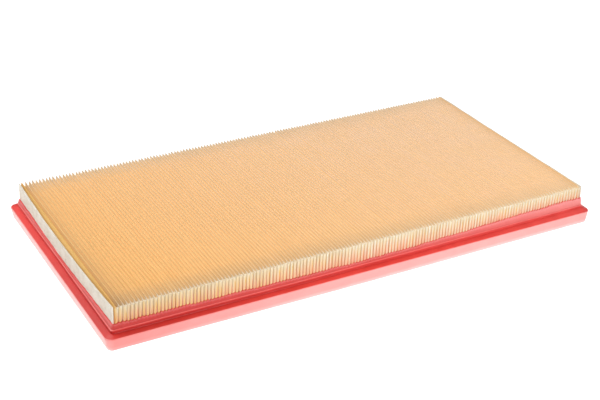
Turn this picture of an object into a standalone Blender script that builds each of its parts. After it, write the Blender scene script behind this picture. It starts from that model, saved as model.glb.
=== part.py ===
"""Engine panel air filter: a pleated paper pack standing in a moulded polyurethane frame.

Row frame, in metres: the origin is the middle of the flat sealing face underneath, +X runs along
the length, across the folds, +Y runs along the folds, and +Z points out of the pleated face.
"""

import math

import bmesh
import bpy

MM = 0.001

# Gap kept between one piece and the neighbour that it touches.
GAP = 0.3 * MM

# Pleated pack: its outer size and the height of its two faces above the sealing face.
PACK_LENGTH = 370.0 * MM
PACK_WIDTH = 183.2 * MM
PACK_TOP = 29.6 * MM
PACK_BOTTOM = 2.8 * MM

# Paper: pleats side by side along X, each an upside-down U whose legs spread towards the bottom.
PLEAT_COUNT = 147
PLEAT_PITCH = 2.5 * MM
PAPER_THICKNESS = 0.5 * MM
LEG_SPACING_TOP = 0.9 * MM
LEG_SPACING_BOTTOM = PLEAT_PITCH - LEG_SPACING_TOP

# Card strips that close the pack's two short sides.
BOARD_THICKNESS = 1.0 * MM
BOARD_TOP = 28.6 * MM

# Hot-melt glue. A flat strand runs under the folds, and in the edge seals it fills every pleat.
STRAND_BOTTOM = PACK_BOTTOM - 0.7 * MM
STRAND_TOP = PACK_BOTTOM - GAP
SEAL_DEPTH = 3.5 * MM
SEAL_TOP = 28.9 * MM
SEAL_CLEARANCE = 0.05 * MM
BEAD_WIDTH = 1.8 * MM
BEAD_SPACING = PACK_WIDTH / 5.0
BEAD_COUNT = 4

# Polyurethane frame. Outsets are measured outwards from the pack's sides.
FLANGE_OUTSET = 6.5 * MM
FLANGE_TOP = 10.0 * MM
WALL_DRAFT = 1.6 * MM
EDGE_RADIUS = 0.6 * MM
CREASE_OUTSET = 2.2 * MM
CREASE_RADIUS = 0.6 * MM
LEDGE_HEIGHT = 13.4 * MM
LEDGE_OUTSET = 1.7 * MM
LEDGE_STEP = 0.4 * MM
LIP_TOP = 17.0 * MM
LIP_TOP_OUTSET = 0.9 * MM
RIM_OVERLAP = 7.0 * MM
RIM_THICKNESS = STRAND_BOTTOM - GAP
RIM_CHAMFER = 0.5 * MM
OUTER_CORNER_RADIUS = 5.0 * MM
INNER_CORNER_RADIUS = 0.6 * MM
RIM_CORNER_RADIUS = 2.5 * MM
CORNER_SEGMENTS = 6
ROUNDING_SEGMENTS = 3

# Base colours, as linear values, with the roughness of each surface.
PAPER_LOOK = ((0.86, 0.50, 0.20), 0.85)
CARD_LOOK = ((0.80, 0.74, 0.62), 0.80)
GLUE_LOOK = ((0.88, 0.76, 0.55), 0.45)
RUBBER_LOOK = ((0.62, 0.045, 0.035), 0.40)


def clear_scene():
    for existing in list(bpy.data.objects):
        bpy.data.objects.remove(existing, do_unlink=True)


def principled(name, look):
    colour, roughness = look
    material = bpy.data.materials.new(name)
    material.use_nodes = True
    shader = material.node_tree.nodes["Principled BSDF"]
    shader.inputs["Base Color"].default_value = (*colour, 1.0)
    shader.inputs["Roughness"].default_value = roughness
    shader.inputs["Metallic"].default_value = 0.0
    return material


def mesh_object(name, vertices, faces, look):
    """A closed mesh object with its faces pointing out and a material of its own."""
    mesh = bpy.data.meshes.new(name)
    mesh.from_pydata(vertices, [], faces)
    shape = bmesh.new()
    shape.from_mesh(mesh)
    bmesh.ops.recalc_face_normals(shape, faces=shape.faces)
    shape.to_mesh(mesh)
    shape.free()
    mesh.materials.append(principled(name, look))
    piece = bpy.data.objects.new(name, mesh)
    bpy.context.collection.objects.link(piece)
    return piece


def strip_prism(name, upper, lower, y_low, y_high, look):
    """The solid between two (x, z) lines with the same number of points, from y_low to y_high."""
    count = len(upper)
    vertices = []
    for y in (y_low, y_high):
        for line in (upper, lower):
            vertices.extend((x, y, z) for x, z in line)
    near_upper, near_lower, far_upper, far_lower = (block * count for block in range(4))
    faces = []
    for start in range(count - 1):
        end = start + 1
        faces.append((near_upper + start, near_upper + end, far_upper + end, far_upper + start))
        faces.append((near_lower + start, far_lower + start, far_lower + end, near_lower + end))
        faces.append((near_upper + start, near_lower + start, near_lower + end, near_upper + end))
        faces.append((far_upper + start, far_upper + end, far_lower + end, far_lower + start))
    for side in (0, count - 1):
        faces.append((near_upper + side, far_upper + side, far_lower + side, near_lower + side))
    return mesh_object(name, vertices, faces, look)


def box_between(name, low, high, look):
    upper = [(low[0], high[2]), (high[0], high[2])]
    lower = [(low[0], low[2]), (high[0], low[2])]
    return strip_prism(name, upper, lower, low[1], high[1], look)


def pleat_centres():
    middle = (PLEAT_COUNT - 1) / 2.0
    return [(pleat - middle) * PLEAT_PITCH for pleat in range(PLEAT_COUNT)]


def paper_line(side):
    """One face of the folded paper: side +1 is the upper face and -1 the lower one."""
    half_paper = PAPER_THICKNESS / 2.0
    half_top = LEG_SPACING_TOP / 2.0 + side * half_paper
    half_foot = LEG_SPACING_BOTTOM / 2.0 + side * half_paper
    crest = PACK_TOP - half_paper + side * half_paper
    trough = PACK_BOTTOM + half_paper + side * half_paper
    line = []
    for x in pleat_centres():
        line.append((x - half_foot, trough))
        line.append((x - half_top, crest))
        line.append((x + half_top, crest))
        line.append((x + half_foot, trough))
    return line


def make_pleated_media():
    half_width = PACK_WIDTH / 2.0
    strip_prism("pleated_media", paper_line(1), paper_line(-1), -half_width, half_width, PAPER_LOOK)


def make_end_boards():
    half_width = PACK_WIDTH / 2.0
    outer = PACK_LENGTH / 2.0
    inner = outer - BOARD_THICKNESS
    for name, x_low, x_high in (("end_board_left", -outer, -inner), ("end_board_right", inner, outer)):
        low = (x_low, -half_width, STRAND_BOTTOM)
        high = (x_high, half_width, BOARD_TOP)
        box_between(name, low, high, CARD_LOOK)


def seal_tooth_half_width():
    """Half width of the glue at the foot of a pleat, just clear of the paper on both sides."""
    return (LEG_SPACING_BOTTOM - PAPER_THICKNESS) / 2.0 - SEAL_CLEARANCE


def seal_lines():
    """The comb-shaped seal: a strand under the folds with one tooth rising inside each pleat."""
    half_foot = seal_tooth_half_width()
    upper = []
    for x in pleat_centres():
        upper.append((x - half_foot, STRAND_TOP))
        upper.append((x, SEAL_TOP))
        upper.append((x + half_foot, STRAND_TOP))
    lower = [(x, STRAND_BOTTOM) for x, _ in upper]
    return upper, lower


def make_edge_seals():
    upper, lower = seal_lines()
    outer = PACK_WIDTH / 2.0
    inner = outer - SEAL_DEPTH
    strip_prism("edge_seal_front", upper, lower, -outer, -inner, GLUE_LOOK)
    strip_prism("edge_seal_rear", upper, lower, inner, outer, GLUE_LOOK)


def make_spacer_beads():
    half_length = PLEAT_COUNT * PLEAT_PITCH / 2.0
    half_bead = BEAD_WIDTH / 2.0
    for bead in range(BEAD_COUNT):
        y = (bead - (BEAD_COUNT - 1) / 2.0) * BEAD_SPACING
        low = (-half_length, y - half_bead, STRAND_BOTTOM)
        high = (half_length, y + half_bead, STRAND_TOP)
        box_between(f"spacer_bead_{bead + 1}", low, high, GLUE_LOOK)


def rectangle_loop(outset, z, corner_radius):
    """A rounded rectangle that lies outset outside the pack's sides, at height z."""
    half_x = PACK_LENGTH / 2.0 + outset - corner_radius
    half_y = PACK_WIDTH / 2.0 + outset - corner_radius
    loop = []
    for quarter, (sign_x, sign_y) in enumerate(((1, 1), (-1, 1), (-1, -1), (1, -1))):
        for step in range(CORNER_SEGMENTS + 1):
            angle = (quarter + step / CORNER_SEGMENTS) * math.pi / 2.0
            x = sign_x * half_x + corner_radius * math.cos(angle)
            y = sign_y * half_y + corner_radius * math.sin(angle)
            loop.append((x, y, z))
    return loop


def corner_radius_at(outset):
    """The corner rounds off evenly from the pack's sharp corner to the flange's outer edge."""
    share = max(0.0, outset) / FLANGE_OUTSET
    return INNER_CORNER_RADIUS + share * (OUTER_CORNER_RADIUS - INNER_CORNER_RADIUS)


def rounding(centre, radius, start_degrees, end_degrees):
    """Points of an arc in the section's plane, as (outset, z)."""
    points = []
    for step in range(ROUNDING_SEGMENTS + 1):
        degrees = start_degrees + (end_degrees - start_degrees) * step / ROUNDING_SEGMENTS
        angle = math.radians(degrees)
        points.append((centre[0] + radius * math.cos(angle), centre[1] + radius * math.sin(angle)))
    return points


def frame_section():
    """The frame's section as (outset, z), from the sealing face outside, over the lip and inside."""
    foot_outset = FLANGE_OUTSET - WALL_DRAFT
    foot_centre = (foot_outset - EDGE_RADIUS, EDGE_RADIUS)
    edge_centre = (FLANGE_OUTSET - EDGE_RADIUS, FLANGE_TOP - EDGE_RADIUS)
    crease_centre = (CREASE_OUTSET + CREASE_RADIUS, FLANGE_TOP + CREASE_RADIUS)
    section = rounding(foot_centre, EDGE_RADIUS, -90.0, 0.0)
    section += rounding(edge_centre, EDGE_RADIUS, 0.0, 90.0)
    section += rounding(crease_centre, CREASE_RADIUS, 270.0, 180.0)
    section.append((LEDGE_OUTSET, LEDGE_HEIGHT))
    section.append((LEDGE_OUTSET - LEDGE_STEP, LEDGE_HEIGHT))
    section.append((LIP_TOP_OUTSET, LIP_TOP))
    section.append((GAP, LIP_TOP))
    section.append((GAP, RIM_THICKNESS))
    return section


def make_frame():
    loops = [rectangle_loop(outset, z, corner_radius_at(outset)) for outset, z in frame_section()]
    inner_edge = (
        (-RIM_OVERLAP + RIM_CHAMFER, RIM_THICKNESS),
        (-RIM_OVERLAP, RIM_THICKNESS - RIM_CHAMFER),
        (-RIM_OVERLAP, RIM_CHAMFER),
        (-RIM_OVERLAP + RIM_CHAMFER, 0.0),
    )
    for outset, z in inner_edge:
        loops.append(rectangle_loop(outset, z, RIM_CORNER_RADIUS))
    per_loop = len(loops[0])
    vertices = [point for loop in loops for point in loop]
    faces = []
    for row in range(len(loops)):
        this_row = row * per_loop
        next_row = (row + 1) % len(loops) * per_loop
        for start in range(per_loop):
            end = (start + 1) % per_loop
            faces.append((this_row + start, this_row + end, next_row + end, next_row + start))
    frame = mesh_object("pu_frame", vertices, faces, RUBBER_LOOK)
    frame.data.shade_smooth()
    frame.data.set_sharp_from_angle(angle=math.radians(35.0))


def main():
    clear_scene()
    make_frame()
    make_pleated_media()
    make_end_boards()
    make_edge_seals()
    make_spacer_beads()


main()
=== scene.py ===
"""Looks of the panel air filter: pleated paper, hot-melt glue, card strips and polyurethane frame."""

import math
import random

import bpy
import numpy as np
from mathutils import Matrix, Vector, noise


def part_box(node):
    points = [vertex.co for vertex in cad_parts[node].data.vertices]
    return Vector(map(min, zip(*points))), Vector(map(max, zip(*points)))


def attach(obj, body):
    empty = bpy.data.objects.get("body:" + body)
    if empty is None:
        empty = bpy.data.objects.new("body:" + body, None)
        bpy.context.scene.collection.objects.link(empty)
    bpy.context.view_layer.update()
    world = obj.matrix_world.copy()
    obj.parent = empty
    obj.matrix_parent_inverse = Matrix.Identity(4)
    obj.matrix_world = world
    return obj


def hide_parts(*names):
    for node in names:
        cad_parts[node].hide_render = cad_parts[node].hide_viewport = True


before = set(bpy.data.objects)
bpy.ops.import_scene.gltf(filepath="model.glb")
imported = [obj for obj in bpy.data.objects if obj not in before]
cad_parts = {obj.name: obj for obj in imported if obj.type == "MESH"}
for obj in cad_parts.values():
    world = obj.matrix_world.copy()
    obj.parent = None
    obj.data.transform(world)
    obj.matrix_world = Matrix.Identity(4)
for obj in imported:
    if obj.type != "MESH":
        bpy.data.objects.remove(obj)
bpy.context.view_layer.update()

MM = 0.001
BODY = "root"
FOLD_SEED, FRONT_SEED, REAR_SEED, BEAD_SEED = 11, 21, 22, 30

# Camera: where it stands, what it looks at, how far it leans, its focal length, sensor and clip distances.
CAMERA_PLACE = Vector((-0.4081, -0.7113, 0.4553))
CAMERA_TARGET = Vector((-0.0053, -0.0050, 0.0200))
CAMERA_ROLL = math.radians(1.78)
CAMERA_LENS = 75.80
CAMERA_SENSOR = 36.0
CAMERA_NEAR, CAMERA_FAR = 0.01, 100.0

# Light: a white room, a large soft key from the left rear, a small fill from the front, a glowing floor.
SKY = 0.26
KEY_PLACE, KEY_SIZE, KEY_POWER = (-0.55, 0.5, 1.3), 1.0, 17.5
FILL_PLACE, FILL_SIZE, FILL_POWER = (0.06, -0.53, 0.31), 0.25, 1.75
FLOOR_HALF = 20.0
FLOOR_COLOUR, FLOOR_GLOW = (0.40, 0.40, 0.40, 1.0), 1.0

# Sizes that the frame gives. The half length and width are those of the paper pack.
PAPER_LOW, PAPER_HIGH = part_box("pleated_media")
FRAME_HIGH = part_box("pu_frame")[1]
BOARD_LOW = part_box("end_board_left")[0]
SEAL_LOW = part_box("edge_seal_front")[0]
HALF_LENGTH = -BOARD_LOW.x
HALF_WIDTH = PAPER_HIGH.y
FLANGE_OUTSET = FRAME_HIGH.x - HALF_LENGTH

# Paper folds: their spacing, the paper's thickness, the radius of its middle line at a fold, and the
# number of points round a fold and of stations along it.
PITCH = 2.5 * MM
PAPER = 0.42 * MM
FOLD_RADIUS = 0.28 * MM
PLEATS = round((PAPER_HIGH.x - PAPER_LOW.x) / PITCH)
CREST_STEPS = 4
ROOT_STEPS = 3
INNER_ROWS = 13
END_ROWS = (0.0, 0.7 * MM, 1.6 * MM, 3.4 * MM)

# Legs of a pleat, as pairs. SHOULDERS: how far below the crest, how far out from it. OUTER_LEG: the
# outermost leg of the first and the last pleat, how far out from its crest, at what height.
SHOULDERS = ((1.0 * MM, 0.24 * MM), (3.0 * MM, 0.58 * MM))
OUTER_LEG = ((0.55 * MM, 3.2 * MM), (0.75 * MM, 14.0 * MM), (0.55 * MM, 26.5 * MM))
LEG_LEAN, LEAN_PHASE = 0.05 * MM, 3.1

# The folds' ends: shoulders flatten, crests are pinched down, and at the rear they are thinner too.
END_SPREAD, SPREAD_REACH = 0.20, 8.0 * MM
REAR_THINNING, REAR_REACH = 0.30, 5.0 * MM
PINCH_FRONT, PINCH_REAR, PINCH_REACH = 1.3 * MM, 0.08 * MM, 2.2 * MM

# How unevenly the pleats stand. The first ones are further apart and sag. Each is shifted and lowered at
# random, and wanders along its length, partly on its own and partly with its neighbours. SHIFT, DROP and
# the lengths of the own waves are in millimetres.
OPEN_PLEATS, OPEN_SHARE = 5, 0.10
SAG, SAG_PLEATS = 0.7 * MM, 3.0
HELD_PLEATS = 4.0
SHIFT, DROP = 0.07, 0.08
CREST_CLEARANCE = 0.06 * MM
OWN_WANDER, SHARED_WANDER = 0.07 * MM, 0.30 * MM
OWN_SHORTEST, OWN_LONGEST = 45.0, 110.0
CREST_WAVER, WAVER_RATE, WAVER_PHASE = 0.06 * MM, 1.7, 2.0

# Where the paper's looks change. Reaches are lengths, or numbers of pleats where they say so.
# Deep in the folds the paper's colour and glow are painted light, bounced between the pleats and through
# the paper, dimmer in the first gaps at the left end.
INSIDE_START, INSIDE_REACH = 0.2 * MM, 1.6 * MM
FIRST_GAPS_DIMMER, FIRST_GAPS_PLEATS = 0.5, 3.0
# Paleness towards the right, the rear and the rear edge is painted light.
PALE_BASE, PALE_RIGHT, PALE_REAR = 0.025, 0.87, 0.20
PALE_REAR_EDGE, PALE_REAR_REACH = 0.70, 8.0 * MM
# Painted shade near the paper's front, rear, left and right edges.
SHADE_FRONT, SHADE_FRONT_CHANGE, SHADE_REAR, SHADE_END_REACH = 0.30, 0.10, 0.10, 5.0 * MM
SHADE_LEFT, SHADE_LEFT_CHANGE, SHADE_LEFT_REACH = 0.18, 0.10, 9.0 * MM
SHADE_RIGHT, SHADE_RIGHT_REACH = 0.16, 5.0 * MM
SHADE_STRENGTH = 2.0
GLOW_CHANGE = 0.04
ENDS_REACH_FRONT, ENDS_REACH_REAR = 2.4 * MM, 3.6 * MM
# Painted shade in amber: strongest in the deep gap beside the left card strip, weaker at the right end.
AMBER_LEFT_PLEATS, AMBER_RIGHT, AMBER_RIGHT_PLEATS = 1.6, 0.35, 2.2
PAPER_STAIN_REACH, PAPER_STAIN_RISE = 1.5 * MM, 2.0 * MM

# Glue teeth in the folds' ends, as ranges: how far they stand proud, how much of the paper's thickness
# they cover, how deep they go. PROUD and DEPTH are in millimetres. The face covers less than the rest.
TOOTH_PROUD = (0.05, 0.16)
TOOTH_COVER = (0.35, 1.0)
TOOTH_DEPTH = (2.6, 3.5)
FACE_COVER, SHOULDER_PROUD = 0.5, 0.6
COVER_END, BURIED_START = 0.01 * MM, 0.02 * MM
TOOTH_LEVELS, CAP_STEPS = 6, 4
GLUE_GAP = 0.05 * MM
FOOT_COVER = 0.25
BURIED = -0.05

# Webs across the valleys' ends, in the glue's colours, which stand for the lit paper seen deep in the
# valleys' open ends, with painted shade: how far in they lie, how thick they are, and how far their upper
# edge lies below the crests.
WEB_RECESS, WEB_RECESS_RANGE = 0.70 * MM, (0.6, 1.4)
WEB_DEPTH = 1.6 * MM
WEB_DROP_FRONT, WEB_DROP_REAR, WEB_DROP_RANGE = 0.7 * MM, 2.8 * MM, (0.7, 1.3)
WEB_LEVELS, WEB_SAG = 7, 0.25 * MM

# How golden the glue is: at random, more towards the left end as painted shade, more downwards, and most
# deep in a web as painted shade.
# The reaches of its red stain are in millimetres.
GOLD_RANDOM = 0.25
GOLD_LEFT_SHADE, GOLD_LEFT_SHADE_START, GOLD_LEFT_SHADE_REACH = 0.60, 0.2, 1.2
GOLD_DOWN, GOLD_DOWN_START, GOLD_DOWN_REACH = 0.35, 2.0 * MM, 10.0 * MM
GOLD_WEB_SHADE, GOLD_WEB_START, GOLD_WEB_REACH = 0.25, 0.4 * MM, 3.0 * MM
GLUE_STAIN_START, TOOTH_STAIN_REACH, WEB_STAIN_REACH = 0.2 * MM, 0.8, 1.4

# Spacer beads: glue from the strand under the folds up into each pleat. BEAD_TOP_RANGE is how far its
# top lies below the crests, in millimetres.
BEAD_COUNT = 4
BEAD_LEVELS = 3
BEAD_WIDTH_RANGE, BEAD_SHIFT = (0.7, 1.0), 0.15
BEAD_TOP_RANGE = (3.0, 7.0)
BEAD_COVERS = ((-1.0, -0.15), (0.0, -0.05), (1.0, -0.15))
BEAD_ROOT = 0.3 * MM
BEAD_GOLD = 0.3

# Card strips. CARD_DIP is how far the upper edge hangs in the middle, CARD_END_DROP how far its ends are
# below the paper, in millimetres. CARD_SECTION is the outline, as shares of the thickness and of the
# height, with many points where the lip's edge stains it.
CARD_STATIONS = 93
CARD_THICKNESS = 0.85
CARD_DIP = {"left": 3.6 * MM, "right": 0.2 * MM}
CARD_END_DROP = {"left": 0.35, "right": 0.75}
CARD_SEEDS = {"left": (41, 43), "right": (42, 44)}
CARD_INWARD, CARD_BOW, CARD_EDGE_WAVE = 0.08 * MM, 0.06 * MM, 0.08 * MM
CARD_STAIN_START, CARD_STAIN_REACH = 0.1 * MM, 0.3 * MM
CARD_STAINED = [(0.0, share) for share in np.linspace(0.40, 0.80, 17)]
CARD_OUTSIDE = [(0.0, 0.0), (0.0, 0.25)] + CARD_STAINED + [(0.0, 0.97)]
CARD_TOP = [(0.08, 0.992), (0.3, 1.0), (0.7, 1.0), (0.92, 0.992)]
CARD_INSIDE = [(1.0, 0.97), (1.0, 0.75), (1.0, 0.5), (1.0, 0.25), (1.0, 0.0)]
CARD_SECTION = CARD_OUTSIDE + CARD_TOP + CARD_INSIDE

# Heights on the frame, above the sealing face, and how far its wall's foot stands back from its top.
FLANGE_TOP = 10.0 * MM
LEDGE_RISE, LEDGE_SAG = 3.5 * MM, 0.6 * MM
DRAFT_FRONT_LEFT, DRAFT_FRONT, DRAFT_FRONT_RIGHT = 2.2 * MM, 0.8 * MM, 1.3 * MM
DRAFT_RIGHT, DRAFT_REAR, DRAFT_LEFT = 0.6 * MM, 1.2 * MM, 1.6 * MM
POCKET_FLOOR = 1.8 * MM
RIM_OVERLAP = 7.0 * MM
# The rim: its edge's size, and a little painted sheen on its lower edge.
RIM_EDGE, RIM_SHEEN = 0.4 * MM, 0.1
INNER_OUTSET = 0.03 * MM

# Corners of the frame in plan: at the pack, at the flange's edge, and at the rim under the pack.
INNER_CORNER, OUTER_CORNER, RIM_CORNER = 0.6 * MM, 5.0 * MM, 2.5 * MM
STATIONS_PER_PLEAT = 4
SHORT_SIDE_STATIONS = 101
CORNER_STEPS = 8

# How far the lip climbs above the flange, at the pack's corners and at the middle of its sides.
LIP_FRONT_LEFT, LIP_FRONT, LIP_FRONT_RIGHT = 7.0 * MM, 4.9 * MM, 9.4 * MM
LIP_REAR_LEFT, LIP_REAR, LIP_REAR_RIGHT = 6.4 * MM, 7.0 * MM, 8.6 * MM
LIP_LEFT, LIP_RIGHT = 4.2 * MM, 7.4 * MM
LIP_RISES = {
    "front": (LIP_FRONT_LEFT, LIP_FRONT, LIP_FRONT_RIGHT),
    "rear": (LIP_REAR_LEFT, LIP_REAR, LIP_REAR_RIGHT),
    "left": (LIP_FRONT_LEFT, LIP_LEFT, LIP_REAR_LEFT),
    "right": (LIP_FRONT_RIGHT, LIP_RIGHT, LIP_REAR_RIGHT),
}

# Unevenness of the foam: the lip's ragged and scalloped upper edge, its swell, and the grain of its skin,
# which starts this far out from the pack and this far above the flange.
SCALLOP, RAGGED, SWELL = 0.40 * MM, 0.28 * MM, 0.07 * MM
GRAIN, GRAIN_SIZE = 0.07 * MM, 1.3 * MM
GRAIN_OUTSET, GRAIN_HEIGHT = 0.3 * MM, 0.5 * MM

# Height of the crease in millimetres, and what the left and the right end add to it.
CREASE_RISE, CREASE_RISE_LEFT, CREASE_RISE_RIGHT = 0.6, 0.4, 1.3

# Wall and edges of the flange, with painted sheen: a painted reflection of the bright floor on the sealing
# face, the foot and the wall, nearly white outside the left end, and a painted highlight round the top
# edge. The rows that go up round the top edge hold: sheen, what the left end adds to it, and the power
# that keeps this near the left end. WALL_LEVELS are shares of the wall's height.
EDGE_RADIUS, FOOT_RADIUS = 0.7 * MM, 1.05 * MM
SEAL_FACE_INSET, SEAL_FACE_SHEEN, FOOT_SHEEN = 3.0 * MM, 0.2, 1.5
WALL_LEVELS, WALL_START, WALL_SPAN = (0.36, 0.66), 0.05, 0.9
EDGE_START = -8.0
EDGE_SHEENS = ((1.0, 0.0, 1), (0.9, 0.0, 1), (0.6, 0.3, 1), (0.25, 0.5, 2), (0.05, 0.3, 2), (0.0, 0.1, 2))

# Rows of the section, from the flange to the lip's top, and the painted sheen and painted shade of the lip
# they scale.
LIP_SHEEN, LIP_DARK = 0.14, 0.60

# Crease: outset, share of the crease's rise, height on top of that, painted sheen, painted shade.
CREASE = (
    (5.0 * MM, 0.20, 0.0, 0.02, 0.0),
    (3.6 * MM, 0.60, 0.0, 0.02, 0.1),
    (2.5 * MM, 0.90, 0.0, 0.0, 0.5),
    (1.9 * MM, 1.0, 0.0, 0.0, 1.0),
    (1.7 * MM, 1.0, 0.3 * MM, 0.0, 1.0),
    (1.7 * MM, 1.0, 0.7 * MM, 0.0, 0.8),
)
CREASE_END, CREASE_HEIGHT, CREASE_END_SHEEN = 1.8 * MM, 1.0 * MM, 0.3
LEDGE_ABOVE_CREASE = 1.8 * MM

# Ledge: outset, height from the ledge, share of its shine (a painted highlight), painted shade.
LEDGE = (
    (1.86 * MM, -0.8 * MM, 0.3, LIP_DARK),
    (1.82 * MM, -0.45 * MM, 0.6, 0.6 * LIP_DARK),
    (1.75 * MM, -0.12 * MM, 1.0, 0.0),
    (1.50 * MM, 0.05 * MM, 1.0, 0.0),
)
LEDGE_END, LEDGE_END_HEIGHT = 1.34 * MM, 0.15 * MM

# Face of the lip: outset, share of the height from ledge to top, shares of the low and the high painted
# sheen, painted shade.
LIP_FACE = (
    (1.26 * MM, 0.25, 1.0, 0.0, LIP_DARK),
    (1.10 * MM, 0.50, 1.2, 0.0, LIP_DARK),
    (0.92 * MM, 0.75, 0.0, 1.0, 0.8 * LIP_DARK),
)

# Upper edge of the lip: outset, height from the top, share of the high painted sheen, painted shade.
LIP_EDGE = (
    (0.70 * MM, -0.22 * MM, 1.0, 0.6 * LIP_DARK),
    (0.50 * MM, -0.05 * MM, 0.5, 0.2),
    (0.25 * MM, 0.0, 0.0, 0.4),
    (INNER_OUTSET, 0.15 * MM, 0.0, 0.2),
)

# Heights where the looks of the lip start and where those of the flange's wall end.
LIP_START = FLANGE_TOP + 2.0 * MM
WALL_END = FLANGE_TOP - 0.1 * MM

# Painted sheen of the lip, stronger towards the right where more light falls, and SHINE, a painted
# highlight on the ledge. LOW and SHINE are in parts of the lip's sheen. ALONG grows from the left end to
# the right one, RIGHT from the middle to the right end, and OUTSIDE counts on the frame's left end only.
LOW, LOW_ALONG, LOW_RIGHT, LOW_FAR_RIGHT, LOW_OUTSIDE = 1.4, 0.9, 1.4, 2.2, 1.5
HIGH_FROM_LOW, HIGH, HIGH_OUTSIDE = 1.2, 0.34, 0.55
SHINE, SHINE_RIGHT, SHINE_OUTSIDE = 2.2, 0.9, 1.9

# How the painted sheen of the wall and the flange changes, as shares, and how dark the painted shade makes
# the foam.
WALL_ALONG, WALL_LEFT, WALL_RIGHT, WALL_OUTSIDE = 0.12, 0.24, 0.15, 0.70
FLANGE_RIGHT = 0.09
LIP_DARK_ALONG, LIP_DARK_OUTSIDE = 0.45, 0.25
CREASE_DARK, CREASE_DARK_ALONG, CREASE_DARK_OUTSIDE = 0.55, 0.38, 0.7
FLANGE_DARK_LEFT, FLANGE_DARK_OUTSIDE, FLANGE_DARK_BACK = 0.65, 0.36, 0.34

# Colours of the paper: warm at the front left, paler to the right and the rear as painted light, darker at
# its edges as painted shade.
PAPER_WARM = (0.88, 0.512, 0.176)
PAPER_PALE_LIGHT = (0.83, 0.618, 0.462)
PAPER_STREAK = (0.81, 0.53, 0.23)
PAPER_FIBRE = (0.92, 0.68, 0.40)
# Painted light deep in the folds, bounced between the pleats.
PAPER_FOLD_LIGHT = (0.79, 0.54, 0.28)
PAPER_SHADE = (0.48, 0.33, 0.21)
PAPER_ENDS = (0.66, 0.55, 0.44)
# Painted shade in amber.
AMBER_SHADE = (0.72, 0.41, 0.12)
PAPER_GLOW = (0.74, 0.63, 0.32)
GLOW = 0.27
PAPER_RED = (0.72, 0.12, 0.06)

# Colours of the glue, the card and the polyurethane.
GLUE_DEEP = (0.71, 0.65, 0.49)
GLUE_PALE = (0.74, 0.74, 0.665)
GLUE_GOLD = (0.75, 0.50, 0.17)
GLUE_RED = (0.80, 0.16, 0.08)
CARD_DEEP = (0.71, 0.65, 0.54)
CARD_PALE = (0.81, 0.76, 0.66)
CARD_FIBRE = (0.60, 0.55, 0.46)
CARD_SPECK = (0.42, 0.38, 0.32)
CARD_RED = (0.70, 0.07, 0.05)
RED_DEEP = (0.80, 0.045, 0.035)
RED_PALE = (0.88, 0.060, 0.048)
# Painted shade deepens the red in the crease, on the lip and on the flange.
RED_SHADE = (0.50, 0.010, 0.007)
# Painted sheen turns the red pink, then nearly white.
SHEEN_PINK = (0.93, 0.36, 0.34)
SHEEN_WHITE = (0.97, 0.80, 0.78)
WHITE = (1.0, 1.0, 1.0, 1.0)


# -------- curves


def smooth(share):
    """Goes from 0 to 1 as share does, and starts and ends level."""
    share = np.clip(share, 0.0, 1.0)
    return share * share * (3.0 - 2.0 * share)


def fade(distance, reach, power=1):
    """1 at no distance, and close to 0 a few reaches away."""
    return np.exp(-((distance / reach) ** power))


def between(start, middle, end, place):
    """A value that goes smoothly from start, at place -1, over middle, at 0, to end, at 1."""
    place = np.asarray(place, float)
    from_start = start + (middle - start) * smooth(place + 1.0)
    return from_start + (end - middle) * smooth(place)


def arc_points(centre, radius, start, end, steps):
    """Points of an arc from one angle to another, in degrees."""
    angles = [math.radians(start + (end - start) * step / steps) for step in range(steps + 1)]
    return [(centre[0] + radius * math.cos(a), centre[1] + radius * math.sin(a)) for a in angles]


def waves(seed, count, longest, shortest):
    """A smooth wavy function of one length, about -1 to 1, made of a few random sines."""
    rng = random.Random(seed)
    terms = []
    for _ in range(count):
        length = math.exp(rng.uniform(math.log(shortest), math.log(longest)))
        terms.append((math.tau / length, rng.uniform(0.0, math.tau), rng.uniform(0.5, 1.0)))
    total = math.sqrt(sum(size * size for _, _, size in terms))

    def value(place):
        place = np.asarray(place, float)
        return sum(size * np.sin(rate * place + shift) for rate, shift, size in terms) / total

    return value


def lip_rise(x, y, side):
    """How far the lip stands above the flange beside the point (x, y) on one side of the pack."""
    place = x / HALF_LENGTH if side in ("front", "rear") else y / HALF_WIDTH
    return between(*LIP_RISES[side], place)


# -------- meshes


def add_object(name, data):
    added = bpy.data.objects.new(name, data)
    bpy.context.scene.collection.objects.link(added)
    return added


def new_piece(name, vertices, faces, material, smooth_angle):
    """Adds a visible piece, shaded smooth up to smooth_angle, in degrees."""
    mesh = bpy.data.meshes.new(name)
    mesh.from_pydata(np.asarray(vertices, float).tolist(), [], faces)
    mesh.validate()
    mesh.shade_smooth()
    mesh.set_sharp_from_angle(angle=math.radians(smooth_angle))
    mesh.materials.append(material)
    piece = add_object(name, mesh)
    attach(piece, BODY)
    return piece


def paint(piece, name, values):
    """Stores one number per vertex, which the piece's material reads."""
    attribute = piece.data.attributes.new(name, "FLOAT", "POINT")
    attribute.data.foreach_set("value", np.asarray(values, np.float32).ravel())


def grid_faces(rows, columns, start=0, flip=False):
    """Quads of a tube, stored row by row, whose every row is a closed ring of points."""
    faces = []
    for row in range(rows - 1):
        for column in range(columns):
            following = (column + 1) % columns
            a = start + row * columns + column
            b = start + row * columns + following
            c = start + (row + 1) * columns + following
            d = start + (row + 1) * columns + column
            faces.append((a, d, c, b) if flip else (a, b, c, d))
    return faces


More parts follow.
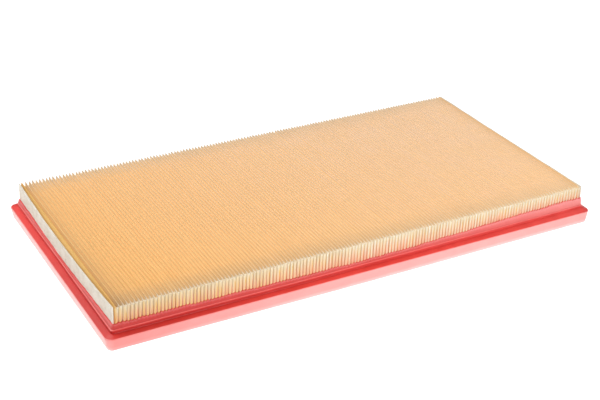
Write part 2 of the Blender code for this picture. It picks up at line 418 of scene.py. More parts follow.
def loft(outlines, vertices, faces, mirrored=False):
    """Adds one closed body lofted through outlines, each (y, points), in order along Y."""
    start = len(vertices)
    count = len(outlines[0][1])
    for y, points in outlines:
        vertices.extend((x, y, z) for x, z in points)
    forward = (outlines[-1][0] > outlines[0][0]) != mirrored
    faces.extend(grid_faces(len(outlines), count, start, flip=not forward))
    first = tuple(range(start, start + count))
    last = tuple(range(start + (len(outlines) - 1) * count, start + len(outlines) * count))
    faces.append(first[::-1] if forward else first)
    faces.append(last if forward else last[::-1])


# -------- paper


def pleat_middles():
    """Resting place of every pleat along X. The few next to each card strip stand further apart."""
    steps = np.full(PLEATS - 1, PITCH)
    spread = OPEN_SHARE * PITCH * fade(np.arange(PLEATS - 1), OPEN_PLEATS)
    steps += spread + spread[::-1]
    steps *= (PLEATS - 1) * PITCH / steps.sum()
    middles = np.concatenate(([0.0], np.cumsum(steps)))
    return middles - middles[-1] / 2.0


def paper_rows():
    """Stations along the folds, closer together at the glued ends."""
    ends = HALF_WIDTH - np.array(END_ROWS)
    inner = np.linspace(-ends[-1], ends[-1], INNER_ROWS)[1:-1]
    return np.concatenate((-ends, inner, ends[::-1]))


class Folds:
    """The pleats as they really stand: their wander, their lean and their uneven crests."""

    def __init__(self):
        rng = random.Random(FOLD_SEED)
        self.middles = pleat_middles()
        self.shift = np.array([rng.gauss(0.0, SHIFT) * MM for _ in range(PLEATS)])
        self.drop = np.array([abs(rng.gauss(0.0, DROP)) * MM for _ in range(PLEATS)])
        self.wave = np.array([rng.uniform(0.0, math.tau) for _ in range(PLEATS)])
        lengths = [rng.uniform(OWN_SHORTEST, OWN_LONGEST) * MM for _ in range(PLEATS)]
        self.rate = np.array([math.tau / length for length in lengths])
        self.common = waves(5, count=4, longest=160.0 * MM, shortest=60.0 * MM)
        self.along = waves(6, count=4, longest=200.0 * MM, shortest=70.0 * MM)

    def crest_x(self, pleat, y):
        """Where a pleat's crest stands along X at station y. The first and the last pleat are held."""
        own = OWN_WANDER * np.sin(self.rate[pleat] * y + self.wave[pleat])
        shared = SHARED_WANDER * self.common(y) * self.along(self.middles[pleat])
        edge = min(1.0, min(pleat, PLEATS - 1 - pleat) / HELD_PLEATS)
        return self.middles[pleat] + edge * (self.shift[pleat] + own + shared)

    def crest_z(self, pleat, y):
        """Height of the paper's upper face on a crest."""
        own = CREST_WAVER * np.sin(WAVER_RATE * self.rate[pleat] * y + WAVER_PHASE * self.wave[pleat])
        from_end = HALF_WIDTH - np.abs(y)
        pinch = (PINCH_FRONT if y < 0.0 else PINCH_REAR) * fade(from_end, PINCH_REACH)
        sag = SAG * fade(pleat, SAG_PLEATS) * (1.0 - (y / HALF_WIDTH) ** 2)
        return PAPER_HIGH.z - CREST_CLEARANCE - self.drop[pleat] + own - pinch - sag

    def leg(self, pleat, y, top, floor):
        """Points down one leg of a pleat, as (how far out from its straight line, height)."""
        from_end = HALF_WIDTH - abs(y)
        spread = END_SPREAD + (1.0 - END_SPREAD) * float(smooth(from_end / SPREAD_REACH))
        lean = LEG_LEAN * math.sin(LEAN_PHASE * self.wave[pleat] + self.rate[pleat] * y)
        points = [(out * spread + lean, top - down) for down, out in SHOULDERS]
        points.append((SHOULDERS[-1][1], (points[-1][1] + floor) / 2.0))
        return points

    def profile(self, y, side):
        """One face of the paper across all pleats at station y: side 1 is the upper face, -1 the lower."""
        half = PAPER / 2.0
        thin = 1.0 - REAR_THINNING * fade(HALF_WIDTH - y, REAR_REACH, 2)
        crest_radius = (FOLD_RADIUS + side * half) * thin
        root_radius = FOLD_RADIUS - side * half
        floor = PAPER_LOW.z + FOLD_RADIUS + half
        points = []
        for pleat in range(PLEATS):
            x = self.crest_x(pleat, y)
            top = self.crest_z(pleat, y) - FOLD_RADIUS - half
            leg = self.leg(pleat, y, top, floor)
            left = OUTER_LEG if pleat == 0 else leg[::-1]
            right = OUTER_LEG[::-1] if pleat == PLEATS - 1 else leg
            points.extend((x - crest_radius - out, z) for out, z in left)
            points.extend(arc_points((x, top), crest_radius, 180.0, 0.0, CREST_STEPS))
            points.extend((x + crest_radius + out, z) for out, z in right)
            if pleat < PLEATS - 1:
                root = (self.middles[pleat] + self.middles[pleat + 1]) / 2.0
                points.extend(arc_points((root, floor), root_radius, 180.0, 360.0, ROOT_STEPS))
        return np.array(points)


def paper_mesh(folds):
    """The folded sheet. At each station come the upper face's points, then the lower face's."""
    rows = paper_rows()
    lines = []
    for y in rows:
        for side in (1, -1):
            line = folds.profile(y, side)
            lines.append(np.column_stack((line[:, 0], np.full(len(line), y), line[:, 1])))
    count = len(lines[0])
    stride = 2 * count
    faces = []
    for row in range(len(rows) - 1):
        here, there = row * stride, (row + 1) * stride
        for point in range(count - 1):
            faces.append((here + point, here + point + 1, there + point + 1, there + point))
            under, beyond = here + count + point, there + count + point
            faces.append((under, beyond, beyond + 1, under + 1))
        for point, order in ((0, 1), (count - 1, -1)):
            ring = (here + point, there + point, there + count + point, here + count + point)
            faces.append(ring[::order])
    last = (len(rows) - 1) * stride
    for point in range(count - 1):
        faces.append((point, count + point, count + point + 1, point + 1))
        faces.append((last + point, last + point + 1, last + count + point + 1, last + count + point))
    return np.concatenate(lines), faces


def paint_paper(piece, vertices):
    """Stores how deep each point lies in a fold, how pale it is as painted light, its painted shade,
    painted glow and painted amber shade, how grey it is at the folds' ends, and how stained it is.
    """
    x, y, z = vertices.T
    across, along = x / HALF_LENGTH, y / HALF_WIDTH
    from_left, from_right = HALF_LENGTH + x, HALF_LENGTH - x
    from_end, from_rear = HALF_WIDTH - np.abs(y), HALF_WIDTH - y
    front = y < 0.0

    from_fold = np.minimum(PAPER_HIGH.z - z, z - PAPER_LOW.z)
    # Deep in a fold the colour and the glow are painted light, dimmer in the first gaps at the left end.
    inside = smooth((from_fold - INSIDE_START) / INSIDE_REACH)
    inside *= 1.0 - FIRST_GAPS_DIMMER * fade(from_left / PITCH, FIRST_GAPS_PLEATS, 2)
    paint(piece, "inside", inside)

    # Painted light: paler towards the right, the rear and the rear edge.
    painted_light = PALE_BASE + PALE_RIGHT * (1.0 - ((1.0 - across) / 2.0) ** 2) + PALE_REAR * along
    painted_light += PALE_REAR_EDGE * fade(from_rear, PALE_REAR_REACH)
    paint(piece, "painted_light", np.clip(painted_light, 0.0, 1.0))

    # Painted shade near the edges.
    shade = np.where(front, SHADE_FRONT - SHADE_FRONT_CHANGE * across, SHADE_REAR)
    shade *= fade(from_end, SHADE_END_REACH)
    shade += (SHADE_LEFT - SHADE_LEFT_CHANGE * along) * fade(from_left, SHADE_LEFT_REACH)
    shade += SHADE_RIGHT * fade(from_right, SHADE_RIGHT_REACH)
    paint(piece, "shade", SHADE_STRENGTH * shade)
    paint(piece, "glow", inside * (1.0 + GLOW_CHANGE * across) * (1.0 - shade))

    paint(piece, "ends", fade(from_end, np.where(front, ENDS_REACH_FRONT, ENDS_REACH_REAR), 2))
    # Painted shade in amber beside the left card strip and at the right end.
    amber_shade = fade(from_left / PITCH, AMBER_LEFT_PLEATS, 4)
    amber_shade += AMBER_RIGHT * fade(from_right / PITCH, AMBER_RIGHT_PLEATS, 2)
    paint(piece, "amber_shade", amber_shade)

    lip = FLANGE_TOP + np.where(front, lip_rise(x, y, "front"), lip_rise(x, y, "rear"))
    below_lip = 1.0 - smooth((z - lip) / PAPER_STAIN_RISE)
    paint(piece, "stain", fade(from_end, PAPER_STAIN_REACH, 2) * below_lip)


def make_paper(folds, material):
    vertices, faces = paper_mesh(folds)
    piece = new_piece("filter_paper", vertices, faces, material, 50.0)
    paint_paper(piece, vertices)
    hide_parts("pleated_media")
    return piece


# -------- hot-melt glue


def tooth_outline(folds, pleat, y, low, high, cover, levels):
    """Outline of the glue inside one pleat, as (x, z), up one side, over its top and down the other.

    Cover says how much of the paper's own thickness the glue has run over: 0 is none, 1 is all.
    """
    x = folds.crest_x(pleat, y)
    high = min(high, folds.crest_z(pleat, y) - PAPER - GLUE_GAP + cover * PAPER)
    top_half = FOLD_RADIUS - PAPER / 2.0 + cover * PAPER
    foot_half = PITCH / 2.0 - FOLD_RADIUS - PAPER / 2.0 - GLUE_GAP + cover * FOOT_COVER * PAPER
    left, right = [], []
    for level in range(levels):
        share = level / (levels - 1)
        half = foot_half + (top_half - foot_half) * share
        z = low + (high - top_half - low) * share
        left.append((x - half, z))
        right.append((x + half, z))
    cap = arc_points((x, high - top_half), top_half, 180.0, 0.0, CAP_STEPS)[1:-1]
    return np.array(left + cap + right[::-1])


def web_outline(folds, valley, y, low, high, levels):
    """Outline of the skin of glue across one valley's end, as (x, z), with a sagging upper edge."""
    left_x = folds.crest_x(valley, y)
    right_x = folds.crest_x(valley + 1, y)
    left, right = [], []
    for level in range(levels):
        share = level / (levels - 1)
        half = PITCH / 2.0 - FOLD_RADIUS + (2.0 * FOLD_RADIUS - PITCH / 2.0) * share
        z = low + (high - low) * share
        left.append((left_x + half, z))
        right.append((right_x - half, z))
    middle = ((left[-1][0] + right[-1][0]) / 2.0, high - WEB_SAG)
    return np.array(left + [middle] + right[::-1])


def add_tooth(folds, pleat, sign, rng, vertices, faces):
    """Adds the glue in one pleat's end, and returns how golden each of its vertices is."""
    start = len(vertices)
    edge = HALF_WIDTH
    proud = rng.uniform(*TOOTH_PROUD) * MM
    cover = rng.uniform(*TOOTH_COVER)
    depth = rng.uniform(*TOOTH_DEPTH) * MM
    stations = ((edge + proud, cover * FACE_COVER), (edge + proud * SHOULDER_PROUD, cover))
    stations += ((edge + COVER_END, cover), (edge - BURIED_START, BURIED), (edge - depth, BURIED))
    outlines = []
    for from_middle, share in stations:
        y = sign * from_middle
        outlines.append((y, tooth_outline(folds, pleat, y, SEAL_LOW.z, PAPER_HIGH.z, share, TOOTH_LEVELS)))
    loft(outlines, vertices, faces)
    depths = PAPER_HIGH.z - np.array(vertices[start:])[:, 2]
    down = smooth((depths - GOLD_DOWN_START) / GOLD_DOWN_REACH)
    from_middle = folds.middles[pleat] / HALF_LENGTH
    # More gold towards the left end is painted shade.
    left_shade = GOLD_LEFT_SHADE * float(smooth((GOLD_LEFT_SHADE_START - from_middle) / GOLD_LEFT_SHADE_REACH))
    return rng.uniform(0.0, GOLD_RANDOM) + left_shade + GOLD_DOWN * down


def add_web(folds, valley, sign, rng, vertices, faces):
    """Adds a web across one valley's end, a sheet that stands for the lit paper deep in the open valley,
    and returns how golden each of its vertices is.
    """
    start = len(vertices)
    edge = HALF_WIDTH
    y = sign * (edge - WEB_RECESS * rng.uniform(*WEB_RECESS_RANGE))
    crest = min(folds.crest_z(valley, sign * edge), folds.crest_z(valley + 1, sign * edge))
    high = crest - (WEB_DROP_FRONT if sign < 0 else WEB_DROP_REAR) * rng.uniform(*WEB_DROP_RANGE)
    outlines = []
    for at in (y, y - sign * WEB_DEPTH):
        outlines.append((at, web_outline(folds, valley, at, SEAL_LOW.z, high, WEB_LEVELS)))
    loft(outlines, vertices, faces)
    depths = high - np.array(vertices[start:])[:, 2]
    # The gold, growing further down the web, is painted shade.
    return GOLD_WEB_SHADE + (1.0 - GOLD_WEB_SHADE) * smooth((depths - GOLD_WEB_START) / GOLD_WEB_REACH)


def make_edge_seal(folds, name, sign, material):
    """The seal along one long side: a tooth in every pleat, then a web across every valley."""
    rng = random.Random(FRONT_SEED if sign < 0 else REAR_SEED)
    vertices, faces, golds = [], [], []
    for pleat in range(PLEATS):
        golds.extend(add_tooth(folds, pleat, sign, rng, vertices, faces))
    tooth_count = len(vertices)
    for valley in range(PLEATS - 1):
        golds.extend(add_web(folds, valley, sign, rng, vertices, faces))
    piece = new_piece(f"{name}_glue", vertices, faces, material, 60.0)
    points = np.array(vertices)
    lip = FLANGE_TOP + lip_rise(points[:, 0], points[:, 1], "front" if sign < 0 else "rear")
    in_web = np.arange(len(points)) >= tooth_count
    reach = np.where(in_web, WEB_STAIN_REACH, TOOTH_STAIN_REACH) * MM
    paint(piece, "gold", golds)
    paint(piece, "stain", 1.0 - smooth((points[:, 2] - lip + GLUE_STAIN_START) / reach))
    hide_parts(name)
    return piece


def make_spacer_bead(folds, number, material):
    """One row of glue across the pleats: a lump in each of them, on the strand under the folds."""
    low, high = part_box(f"spacer_bead_{number}")
    row, half = (low.y + high.y) / 2.0, (high.y - low.y) / 2.0
    rng = random.Random(BEAD_SEED + number)
    vertices, faces = [], []
    for pleat in range(PLEATS):
        wide = half * rng.uniform(*BEAD_WIDTH_RANGE)
        middle = row + rng.uniform(-BEAD_SHIFT, BEAD_SHIFT) * half
        top = PAPER_HIGH.z - rng.uniform(*BEAD_TOP_RANGE) * MM
        outlines = []
        for step, cover in BEAD_COVERS:
            y = middle + step * wide
            outline = tooth_outline(folds, pleat, y, high.z - BEAD_ROOT, top, cover, BEAD_LEVELS)
            outlines.append((y, outline))
        loft(outlines, vertices, faces)
    piece = new_piece(f"spacer_bead_{number}_glue", vertices, faces, material, 60.0)
    paint(piece, "gold", np.full(len(vertices), BEAD_GOLD))
    paint(piece, "stain", np.zeros(len(vertices)))
    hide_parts(f"spacer_bead_{number}")
    return piece


# -------- card strips


def make_end_board(name, side, material):
    """A card strip with rounded edges, a slight bow and a wavy upper edge that dips in the middle."""
    low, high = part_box(name)
    sign = -1.0 if side == "left" else 1.0
    bow_seed, edge_seed = CARD_SEEDS[side]
    bow = waves(bow_seed, count=3, longest=150.0 * MM, shortest=50.0 * MM)
    edge_wave = waves(edge_seed, count=5, longest=90.0 * MM, shortest=12.0 * MM)
    thickness = (high.x - low.x) * CARD_THICKNESS
    outer_face = max(abs(low.x), abs(high.x))
    high_end = PAPER_HIGH.z - CARD_END_DROP[side] * MM
    outlines = []
    for y in np.linspace(low.y, high.y, CARD_STATIONS):
        middle = 1.0 - (y / HALF_WIDTH) ** 2
        top = high_end - CARD_DIP[side] * middle + CARD_EDGE_WAVE * edge_wave(y)
        inward = CARD_INWARD + CARD_BOW * bow(y)
        outline = []
        for depth_share, height_share in CARD_SECTION:
            x = sign * (outer_face - inward * height_share - depth_share * thickness)
            outline.append((x, low.z + (top - low.z) * height_share))
        outlines.append((y, outline))
    vertices, faces = [], []
    loft(outlines, vertices, faces, mirrored=side == "right")
    piece = new_piece(f"{name}_card", vertices, faces, material, 50.0)
    points = np.array(vertices)
    lip = FLANGE_TOP + lip_rise(points[:, 0], points[:, 1], side)
    paint(piece, "stain", 1.0 - smooth((points[:, 2] - lip + CARD_STAIN_START) / CARD_STAIN_REACH))
    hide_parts(name)
    return piece


# -------- polyurethane frame


def corner_radius(outset):
    """Radius of the frame's corners in plan, outset outwards from the pack's sides."""
    if outset < 0.0:
        return RIM_CORNER
    return INNER_CORNER + outset / FLANGE_OUTSET * (OUTER_CORNER - INNER_CORNER)


def ring_stations():
    """Places round the frame: (side, position along it from -1 to 1) or (corner number, share of it)."""
    long_side = np.linspace(-1.0, 1.0, STATIONS_PER_PLEAT * PLEATS + 1)
    short_side = np.linspace(-1.0, 1.0, SHORT_SIDE_STATIONS)
    corner = np.linspace(0.0, 1.0, CORNER_STEPS + 1)[1:-1]
    sides = (("front", long_side), ("right", short_side), ("rear", -long_side), ("left", -short_side))
    stations = []
    for number, (side, places) in enumerate(sides):
        stations.extend((side, place) for place in places)
        stations.extend((number, share) for share in corner)
    return stations


def ring_point(station, outset):
    """The point in plan at one station, outset outwards from the pack's sides."""
    radius = corner_radius(outset)
    half_x = HALF_LENGTH + outset - radius
    half_y = HALF_WIDTH + outset - radius
    kind, share = station
    if kind == "front":
        return share * half_x, -half_y - radius
    if kind == "right":
        return half_x + radius, share * half_y
    if kind == "rear":
        return share * half_x, half_y + radius
    if kind == "left":
        return -half_x - radius, share * half_y
    angle = (kind - 1 + share) * math.pi / 2.0
    sign_x = 1.0 if kind in (0, 1) else -1.0
    sign_y = 1.0 if kind in (1, 2) else -1.0
    return sign_x * half_x + radius * math.cos(angle), sign_y * half_y + radius * math.sin(angle)


def station_rise(station):
    """How far the lip climbs above the flange at one station."""
    kind, share = station
    if kind in ("front", "rear"):
        return float(lip_rise(share * HALF_LENGTH, 0.0, kind))
    if kind in ("left", "right"):
        return float(lip_rise(0.0, share * HALF_WIDTH, kind))
    return (LIP_FRONT_RIGHT, LIP_REAR_RIGHT, LIP_REAR_LEFT, LIP_FRONT_LEFT)[kind]


def station_draft(station):
    """How far the foot of the flange's wall stands back from its top edge."""
    kind, share = station
    if kind == "front":
        return float(between(DRAFT_FRONT_LEFT, DRAFT_FRONT, DRAFT_FRONT_RIGHT, share))
    if kind in ("right", "rear", "left"):
        return {"right": DRAFT_RIGHT, "rear": DRAFT_REAR, "left": DRAFT_LEFT}[kind]
    turns = (DRAFT_FRONT_RIGHT, DRAFT_RIGHT, DRAFT_REAR, DRAFT_LEFT)
    ends = (DRAFT_RIGHT, DRAFT_REAR, DRAFT_LEFT, DRAFT_FRONT_LEFT)
    return turns[kind] + (ends[kind] - turns[kind]) * share


def outside_left(station):
    """1 on the left end of the frame, 0 on its other sides, and between on the corners next to it."""
    kind, share = station
    if kind == 3:
        return 1.0 - share
    if kind == 2:
        return share
    return 1.0 if kind == "left" else 0.0


def crease_rise(along):
    """Height of the crease above the flange's outer edge: more at the corners, most at the right end."""
    left, right = max(0.0, -along), max(0.0, along)
    return (CREASE_RISE + CREASE_RISE_LEFT * left ** 3 + CREASE_RISE_RIGHT * right ** 3) * MM


def lip_sheens(along, outside):
    """Painted sheen on the lip's lower part and on its upper part, and a painted highlight on the ledge
    under it.
    """
    right = max(0.0, along)
    towards_right = LOW_ALONG * along + LOW_RIGHT * right + LOW_FAR_RIGHT * right ** 2
    low = LIP_SHEEN * (LOW + towards_right + LOW_OUTSIDE * outside)
    high = HIGH_FROM_LOW * low + HIGH * (1.0 - right ** 3) * (1.0 - HIGH_OUTSIDE * outside)
    shine = LIP_SHEEN * (SHINE + SHINE_RIGHT * right + SHINE_OUTSIDE * outside)
    return low, high, shine


def wall_section(draft, along):
    """The outer part of the section: sealing face, rounded foot, drafted wall and rounded top edge."""
    left = max(0.0, -along)
    foot = FLANGE_OUTSET - draft
    foot_arc = arc_points((foot - FOOT_RADIUS, FOOT_RADIUS), FOOT_RADIUS, -90.0, -20.0, 3)
    # Painted sheen: a reflection of the bright floor on the sealing face, the foot and the wall, and a
    # highlight round the top edge.
    section = [(foot - SEAL_FACE_INSET, 0.0, SEAL_FACE_SHEEN, 0.0)]
    section += [(outset, z, FOOT_SHEEN, 0.0) for outset, z in foot_arc]
    for share in WALL_LEVELS:
        outset = foot + draft * (WALL_START + WALL_SPAN * share)
        section.append((outset, EDGE_RADIUS + (FLANGE_TOP - 2.0 * EDGE_RADIUS) * share, 1.0, 0.0))
    centre = (FLANGE_OUTSET - EDGE_RADIUS, FLANGE_TOP - EDGE_RADIUS)
    top_edge = arc_points(centre, EDGE_RADIUS, EDGE_START, 90.0, len(EDGE_SHEENS) - 1)
    for (outset, z), (sheen, more, power) in zip(top_edge, EDGE_SHEENS):
        section.append((outset, z, sheen + more * left ** power, 0.0))
    return section


def lip_section(rise, along, outside):
    """The upper part of the section: a crease darkened by painted shade, a ledge with a painted highlight
    and the lip, which climbs by rise.
    """
    low, high, shine = lip_sheens(along, outside)
    crease = crease_rise(along)
    section = []
    for outset, share, height, sheen, painted_shade in CREASE:
        section.append((outset, FLANGE_TOP + share * crease + height, sheen, painted_shade))
    section.append((CREASE_END, FLANGE_TOP + crease + CREASE_HEIGHT, CREASE_END_SHEEN * low, LIP_DARK))
    ledge_rise = LEDGE_RISE - LEDGE_SAG * (1.0 - along ** 2)
    ledge = FLANGE_TOP + max(ledge_rise, crease + LEDGE_ABOVE_CREASE)
    for outset, height, share, painted_shade in LEDGE:
        section.append((outset, ledge + height, share * shine, painted_shade))
    section.append((LEDGE_END, ledge + LEDGE_END_HEIGHT, (shine + low) / 2.0, LIP_DARK))
    top = FLANGE_TOP + rise
    for outset, share, low_share, high_share, painted_shade in LIP_FACE:
        sheen = low_share * low + high_share * high
        section.append((outset, ledge + share * (top - ledge), sheen, painted_shade))
    for outset, height, share, painted_shade in LIP_EDGE:
        section.append((outset, top + height, share * high, painted_shade))
    return section


def inner_section():
    """The inner part of the section: down beside the pack, and round the rim that reaches under it."""
    return [
        (INNER_OUTSET, FLANGE_TOP, 0.0, 0.0),
        (INNER_OUTSET, POCKET_FLOOR, 0.0, 0.0),
        (-RIM_OVERLAP + RIM_EDGE, POCKET_FLOOR, 0.0, 0.0),
        (-RIM_OVERLAP, POCKET_FLOOR - RIM_EDGE, 0.0, 0.0),
        (-RIM_OVERLAP, RIM_EDGE, 0.0, 0.0),
        (-RIM_OVERLAP + RIM_EDGE, 0.0, RIM_SHEEN, 0.0),
    ]


def frame_section(station, rise, along):
    """(outset, height, painted sheen, painted shade) of every point round the frame's section at one
    station.
    """
    upper = lip_section(rise, along, outside_left(station))
    return wall_section(station_draft(station), along) + upper + inner_section()


def sheen_here(along, z, sheen, outside):
    """Painted light: the wall outside the left end is nearly white, and the flange is paler towards the
    right.
    """
    left, right = max(0.0, -along), max(0.0, along)
    if z > LIP_START:
        return sheen
    if z > WALL_END:
        return sheen + FLANGE_RIGHT * right
    ends = WALL_LEFT * left ** 3 + WALL_RIGHT * right ** 4
    return sheen * (1.0 + WALL_ALONG * along - ends + WALL_OUTSIDE * outside)


def painted_shade_here(along, back, z, painted_shade, outside):
    """Painted shade: the foam is darkest in the crease and round the front left corner. Back goes from -1,
    at the front, to 1.
    """
    if z > LIP_START:
        return painted_shade * (1.0 - LIP_DARK_ALONG * along) * (1.0 - LIP_DARK_OUTSIDE * outside)
    crease = CREASE_DARK - CREASE_DARK_ALONG * along
    crease *= painted_shade * (1.0 - CREASE_DARK_OUTSIDE * outside)
    if z < WALL_END:
        return crease
    flange = FLANGE_DARK_LEFT * max(0.0, -along) ** 1.5 * (1.0 - outside)
    flange += (FLANGE_DARK_OUTSIDE - FLANGE_DARK_BACK * back) * outside
    return flange + (1.0 - flange) * crease


def foam_scallops(folds):
    """How the foam stands in the gaps between the folds: 1 in a gap, -1 on a fold, by place along X."""
    numbers = np.arange(PLEATS)
    lines = {}
    for side, y in (("front", -HALF_WIDTH), ("rear", HALF_WIDTH)):
        lines[side] = np.array([folds.crest_x(pleat, y) for pleat in numbers])

    def height(side, x):
        return -math.cos(math.tau * float(np.interp(x, lines[side], numbers)))

    return height


def make_frame_skin(folds, material):
    """The frame's surface: its section carried round the pack, with an uneven lip and a grainy skin."""
    stations = ring_stations()
    scallops = foam_scallops(folds)
    ragged = waves(51, count=9, longest=60.0 * MM, shortest=6.0 * MM)
    swell = waves(52, count=5, longest=120.0 * MM, shortest=25.0 * MM)
    vertices, sheens, painted_shades = [], [], []
    travelled = 0.0
    previous = None
    for station in stations:
        here = Vector(ring_point(station, 0.0))
        travelled += (here - previous).length if previous else 0.0
        previous = here
        rise = station_rise(station) + RAGGED * float(ragged(travelled))
        if station[0] in ("front", "rear"):
            rise += SCALLOP * scallops(station[0], here.x)
        bulge = SWELL * float(swell(travelled))
        along, back = here.x / HALF_LENGTH, here.y / HALF_WIDTH
        outside = outside_left(station)
        for outset, z, sheen, painted_shade in frame_section(station, rise, along):
            if outset > GRAIN_OUTSET and z > FLANGE_TOP + GRAIN_HEIGHT:
                grain = noise.noise(Vector((travelled, outset, z)) / GRAIN_SIZE)
                outset += bulge + GRAIN * grain
            x, y = ring_point(station, outset)
            vertices.append((x, y, z))
            # The foam's painted sheen and painted shade at this point.
            sheens.append(sheen_here(along, z, sheen, outside))
            painted_shades.append(painted_shade_here(along, back, z, painted_shade, outside))
    count = len(vertices) // len(stations)
    faces = grid_faces(len(stations), count)
    last = (len(stations) - 1) * count
    for point in range(count):
        following = (point + 1) % count
        faces.append((last + point, last + following, following, point))
    piece = new_piece("frame_skin", vertices, faces, material, 40.0)
    paint(piece, "sheen", sheens)
    paint(piece, "painted_shade", painted_shades)
    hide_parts("pu_frame")
    return piece


# -------- materials


class Shading:
    """A material with a Principled shader, and short ways to add the nodes that feed it."""

    def __init__(self, name, roughness, **sockets):
        self.material = bpy.data.materials.new(name)
        self.material.use_nodes = True
        self.nodes = self.material.node_tree.nodes
        self.links = self.material.node_tree.links
        self.shader = self.nodes["Principled BSDF"]
        self.shader.inputs["Roughness"].default_value = roughness
        for socket, value in sockets.items():
            self.shader.inputs[socket.replace("_", " ")].default_value = value
        self.place = self.nodes.new("ShaderNodeTexCoord").outputs["Object"]

    def stretched(self, scale):
        """The place on the object, with each axis scaled on its own."""
        mapping = self.nodes.new("ShaderNodeMapping")
        mapping.inputs["Scale"].default_value = scale
        self.links.new(self.place, mapping.inputs["Vector"])
        return mapping.outputs["Vector"]

    def cloud(self, scale, detail, stretch=(1.0, 1.0, 1.0)):
        """Cloudy noise, scale lumps to the metre."""
        texture = self.nodes.new("ShaderNodeTexNoise")
        texture.inputs["Scale"].default_value = scale
        texture.inputs["Detail"].default_value = detail
        self.links.new(self.stretched(stretch), texture.inputs["Vector"])
        return texture.outputs["Fac"]

    def attribute(self, name):
        """What paint stored under this name."""
        node = self.nodes.new("ShaderNodeAttribute")
        node.attribute_name = name
        return node.outputs["Fac"]

    def spread(self, value, low, high, to_low=0.0, to_high=1.0):
        """Maps the range from low to high onto the range from to_low to to_high."""
        node = self.nodes.new("ShaderNodeMapRange")
        node.inputs["From Min"].default_value = low
        node.inputs["From Max"].default_value = high
        node.inputs["To Min"].default_value = to_low
        node.inputs["To Max"].default_value = to_high
        self.links.new(value, node.inputs["Value"])
        return node.outputs["Result"]

    def part_of(self, name, most):
        """What paint stored under this name, at most this much."""
        return self.spread(self.attribute(name), 0.0, 1.0, to_high=most)

    def times(self, first, second):
        node = self.nodes.new("ShaderNodeMath")
        node.operation = "MULTIPLY"
        self.links.new(first, node.inputs[0])
        self.links.new(second, node.inputs[1])
        return node.outputs["Value"]

    def mix(self, share, first, second):
        """Mixes two colours, each a tuple or a node's output. Share is a number or an output."""
        node = self.nodes.new("ShaderNodeMix")
        node.data_type = "RGBA"
        for socket, value in (("Factor", share), ("A", first), ("B", second)):
            target = next(i for i in node.inputs if i.name == socket and i.enabled)
            if isinstance(value, bpy.types.NodeSocket):
                self.links.new(value, target)
            else:
                target.default_value = (*value, 1.0) if isinstance(value, tuple) else value
        return next(o for o in node.outputs if o.enabled)

    def colour(self, value):
        self.links.new(value, self.shader.inputs["Base Color"])

    def roughness(self, value):
        self.links.new(value, self.shader.inputs["Roughness"])

    def glow(self, colour, strength):
        self.shader.inputs["Emission Color"].default_value = (*colour, 1.0)
        self.links.new(strength, self.shader.inputs["Emission Strength"])

    def bump(self, height, strength, distance):
        node = self.nodes.new("ShaderNodeBump")
        node.inputs["Strength"].default_value = strength
        node.inputs["Distance"].default_value = distance
        self.links.new(height, node.inputs["Height"])
        self.links.new(node.outputs["Normal"], self.shader.inputs["Normal"])


def paper_material():
    """Streaky, fibrous paper. The weak glow inside the folds stands for light through thin paper."""
    look = Shading("filter_paper", 0.85, Specular_IOR_Level=0.12)
    streak = look.cloud(900.0, detail=2.0, stretch=(1.0, 0.06, 1.0))
    fibre = look.cloud(2600.0, detail=3.0)
    patches = look.cloud(60.0, detail=4.0)
    # Painted light: paler towards the right and the rear.
    colour = look.mix(look.attribute("painted_light"), PAPER_WARM, PAPER_PALE_LIGHT)
    colour = look.mix(look.spread(patches, 0.35, 0.65, to_high=0.15), colour, PAPER_STREAK)
    colour = look.mix(look.spread(streak, 0.3, 0.7, to_high=0.20), colour, PAPER_STREAK)
    colour = look.mix(look.spread(fibre, 0.55, 0.8, to_high=0.15), colour, PAPER_FIBRE)
    # Painted light deep in the folds.
    colour = look.mix(look.part_of("inside", 0.75), colour, PAPER_FOLD_LIGHT)
    # Painted shade near the edges.
    colour = look.mix(look.attribute("shade"), colour, PAPER_SHADE)
    ends = look.times(look.attribute("ends"), look.spread(streak, 0.0, 1.0, to_low=0.9, to_high=0.6))
    colour = look.mix(ends, colour, PAPER_ENDS)
    # Painted shade in amber.
    colour = look.mix(look.attribute("amber_shade"), colour, AMBER_SHADE)
    colour = look.mix(look.part_of("stain", 0.8), colour, PAPER_RED)
    look.colour(colour)
    look.glow(PAPER_GLOW, look.spread(look.attribute("glow"), 0.0, 2.0, to_high=2.0 * GLOW))
    look.bump(fibre, strength=0.3, distance=0.05 * MM)
    return look.material


def glue_material():
    """Mottled hot-melt glue, golden where it is thick and stained red where the foam reached it. More gold
    towards the left end and deep in the webs is painted shade.
    """
    look = Shading("hot_melt", 0.5, Specular_IOR_Level=0.4)
    mottle = look.cloud(700.0, detail=3.0)
    grain = look.cloud(3000.0, detail=2.0)
    colour = look.mix(look.spread(mottle, 0.35, 0.65), GLUE_DEEP, GLUE_PALE)
    colour = look.mix(look.attribute("gold"), colour, GLUE_GOLD)
    colour = look.mix(look.part_of("stain", 0.8), colour, GLUE_RED)
    look.colour(colour)
    look.roughness(look.spread(grain, 0.3, 0.7, to_low=0.42, to_high=0.6))
    look.bump(grain, strength=0.3, distance=0.06 * MM)
    return look.material


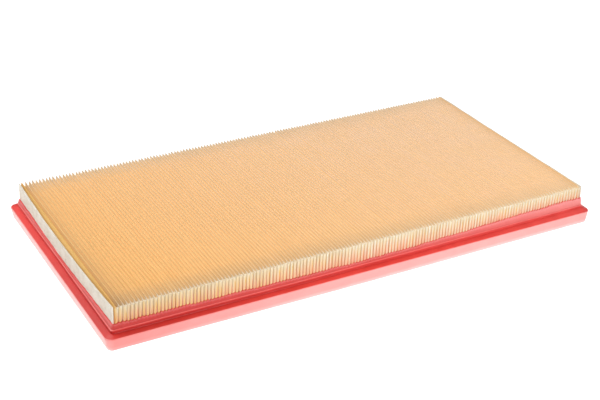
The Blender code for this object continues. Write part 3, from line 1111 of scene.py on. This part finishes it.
def card_material():
    """Cream card with long fibres and a few dark specks."""
    look = Shading("end_board", 0.8, Specular_IOR_Level=0.3)
    mottle = look.cloud(120.0, detail=4.0)
    fibre = look.cloud(2200.0, detail=3.0, stretch=(1.0, 0.35, 1.0))
    speck = look.cloud(420.0, detail=2.0)
    colour = look.mix(look.spread(mottle, 0.35, 0.65), CARD_DEEP, CARD_PALE)
    colour = look.mix(look.spread(fibre, 0.5, 0.75, to_high=0.4), colour, CARD_FIBRE)
    colour = look.mix(look.spread(speck, 0.64, 0.74, to_high=0.45), colour, CARD_SPECK)
    colour = look.mix(look.part_of("stain", 0.85), colour, CARD_RED)
    look.colour(colour)
    look.bump(fibre, strength=0.35, distance=0.06 * MM)
    return look.material


def polyurethane_material():
    """Red foam skin. Painted sheen turns it pink up to 1 and nearly white up to 2, and painted shade
    deepens it.
    """
    look = Shading("polyurethane", 0.42, Specular_IOR_Level=0.5)
    haze = look.cloud(90.0, detail=4.0)
    grain = look.cloud(1500.0, detail=3.0)
    pores = look.cloud(5200.0, detail=2.0)
    colour = look.mix(look.spread(haze, 0.35, 0.65), RED_DEEP, RED_PALE)
    # Painted sheen, a little uneven with the haze.
    sheen = look.times(look.attribute("sheen"), look.spread(haze, 0.2, 0.8, to_low=0.85, to_high=1.0))
    colour = look.mix(look.spread(sheen, 0.0, 1.0), colour, SHEEN_PINK)
    colour = look.mix(look.spread(sheen, 1.0, 2.0), colour, SHEEN_WHITE)
    # Painted shade.
    colour = look.mix(look.attribute("painted_shade"), colour, RED_SHADE)
    look.colour(colour)
    look.roughness(look.spread(grain, 0.3, 0.7, to_low=0.34, to_high=0.5))
    look.bump(look.mix(0.5, pores, grain), strength=0.25, distance=0.12 * MM)
    return look.material


def floor_material():
    look = Shading("floor", 0.9, Specular_IOR_Level=0.1)
    look.shader.inputs["Base Color"].default_value = FLOOR_COLOUR
    look.shader.inputs["Emission Color"].default_value = WHITE
    look.shader.inputs["Emission Strength"].default_value = FLOOR_GLOW
    return look.material


# -------- stage


def make_floor():
    half = FLOOR_HALF
    corners = [(-half, -half, 0.0), (half, -half, 0.0), (half, half, 0.0), (-half, half, 0.0)]
    mesh = bpy.data.meshes.new("floor")
    mesh.from_pydata(corners, [], [(0, 1, 2, 3)])
    mesh.materials.append(floor_material())
    floor = add_object("floor", mesh)


def make_world():
    world = bpy.data.worlds.new("studio")
    world.use_nodes = True
    background = world.node_tree.nodes["Background"]
    background.inputs["Color"].default_value = WHITE
    background.inputs["Strength"].default_value = SKY
    bpy.context.scene.world = world


def make_light(name, place, size, power):
    """A square light at this place, which faces the object."""
    light = bpy.data.lights.new(name, "AREA")
    light.shape = "SQUARE"
    light.size = size
    light.energy = power
    lamp = add_object(name, light)
    lamp.location = place
    lamp.rotation_mode = "QUATERNION"
    lamp.rotation_quaternion = (-Vector(place)).to_track_quat("-Z", "Y")


def make_camera():
    data = bpy.data.cameras.new("camera")
    data.lens = CAMERA_LENS
    data.sensor_width = CAMERA_SENSOR
    data.clip_start = CAMERA_NEAR
    data.clip_end = CAMERA_FAR
    camera = add_object("camera", data)
    facing = (CAMERA_TARGET - CAMERA_PLACE).to_track_quat("-Z", "Y").to_matrix().to_4x4()
    camera.matrix_world = Matrix.Translation(CAMERA_PLACE) @ facing @ Matrix.Rotation(CAMERA_ROLL, 4, "Z")
    bpy.context.scene.camera = camera
    bpy.context.scene.view_settings.view_transform = "Standard"
    bpy.context.scene.view_settings.look = "None"


def main():
    folds = Folds()
    glue = glue_material()
    card = card_material()
    make_paper(folds, paper_material())
    make_edge_seal(folds, "edge_seal_front", -1.0, glue)
    make_edge_seal(folds, "edge_seal_rear", 1.0, glue)
    for number in range(1, BEAD_COUNT + 1):
        make_spacer_bead(folds, number, glue)
    make_end_board("end_board_left", "left", card)
    make_end_board("end_board_right", "right", card)
    make_frame_skin(folds, polyurethane_material())
    make_floor()
    make_world()
    make_light("key", KEY_PLACE, KEY_SIZE, KEY_POWER)
    make_light("fill", FILL_PLACE, FILL_SIZE, FILL_POWER)
    make_camera()


main()
